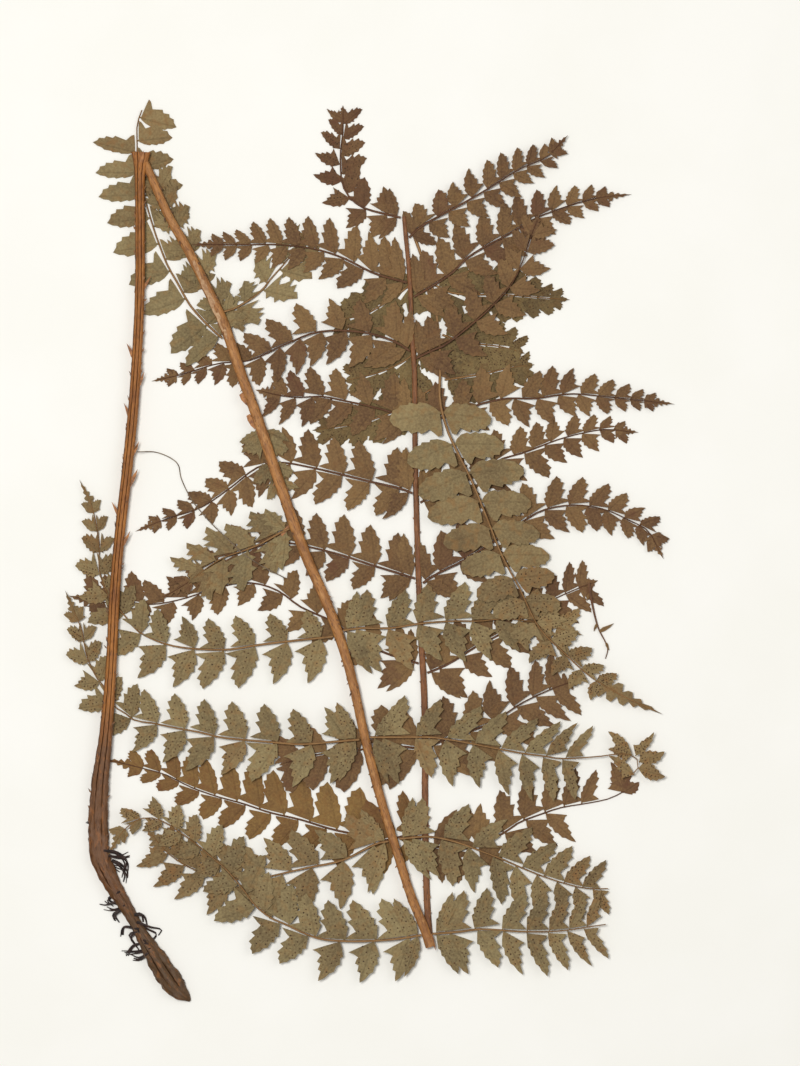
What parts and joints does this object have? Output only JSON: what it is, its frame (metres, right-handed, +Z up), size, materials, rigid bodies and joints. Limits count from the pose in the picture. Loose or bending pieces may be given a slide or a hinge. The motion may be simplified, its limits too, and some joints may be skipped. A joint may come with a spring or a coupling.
{
  "type": "pressed fern frond",
  "caption": "Dried and pressed fern frond of Polystichum tsaratananense, folded to lie in parallel runs, with a stout stalk and toothed leaflets along its side sprays.",
  "frame": {"origin": "middle of the lowest level of the bounding box, on the surface that the frond lies on", "axes": "+Y up the long side, from the foot of the stalk toward its fold; +X from the stalk across to the upper midstem; +Z up out of the surface"},
  "size_m": [0.2572, 0.378, 0.006],
  "materials": {
    "stalk": "satin",
    "lower_stem": "satin",
    "upper_stem": "satin",
    "leaf_face": "matte",
    "leaf_red_brown": "matte",
    "leaf_olive": "matte",
    "leaf_back": "matte"
  },
  "bodies": {
    "root": {"stalk": "stalk", "lower_midstem": "lower_stem", "upper_midstem": "upper_stem", "upper_left_pinna_1": "leaf_face", "upper_left_pinna_2": "leaf_face", "upper_left_pinna_3": "leaf_face", "upper_left_pinna_4": "leaf_face", "upper_left_pinna_5": "leaf_face", "upper_left_pinna_6": "leaf_face", "upper_left_pinna_7": "leaf_face", "upper_left_pinna_8": "leaf_face", "upper_left_pinna_9": "leaf_red_brown", "upper_right_pinna_1": "leaf_face", "upper_right_pinna_2": "leaf_face", "upper_right_pinna_3": "leaf_face", "upper_right_pinna_4": "leaf_face", "upper_right_pinna_5": "leaf_face", "upper_right_pinna_6": "leaf_face", "upper_right_pinna_7": "leaf_face", "upper_right_pinna_8": "leaf_face", "upper_right_pinna_9": "leaf_face", "tip_left_pinna_1": "leaf_olive", "tip_left_pinna_2": "leaf_olive", "tip_left_pinna_3": "leaf_olive", "tip_right_pinna_1": "leaf_olive", "tip_right_pinna_2": "leaf_olive", "tip_right_pinna_3": "leaf_olive", "lower_hidden_pinna": "leaf_back", "lower_left_pinna_1": "leaf_back", "lower_left_pinna_2": "leaf_back", "lower_right_pinna_1": "leaf_back", "lower_left_pinna_3": "leaf_back", "lower_left_pinna_4": "leaf_back", "lower_right_pinna_4": "leaf_back", "lower_left_pinna_5": "leaf_back", "lower_right_pinna_5": "leaf_back", "lower_left_pinna_6": "leaf_back", "lower_right_pinna_6": "leaf_back", "lower_left_pinna_7": "leaf_back", "lower_right_pinna_7": "leaf_back", "frond_tip": "leaf_back"}
  },
  "joints": []
}
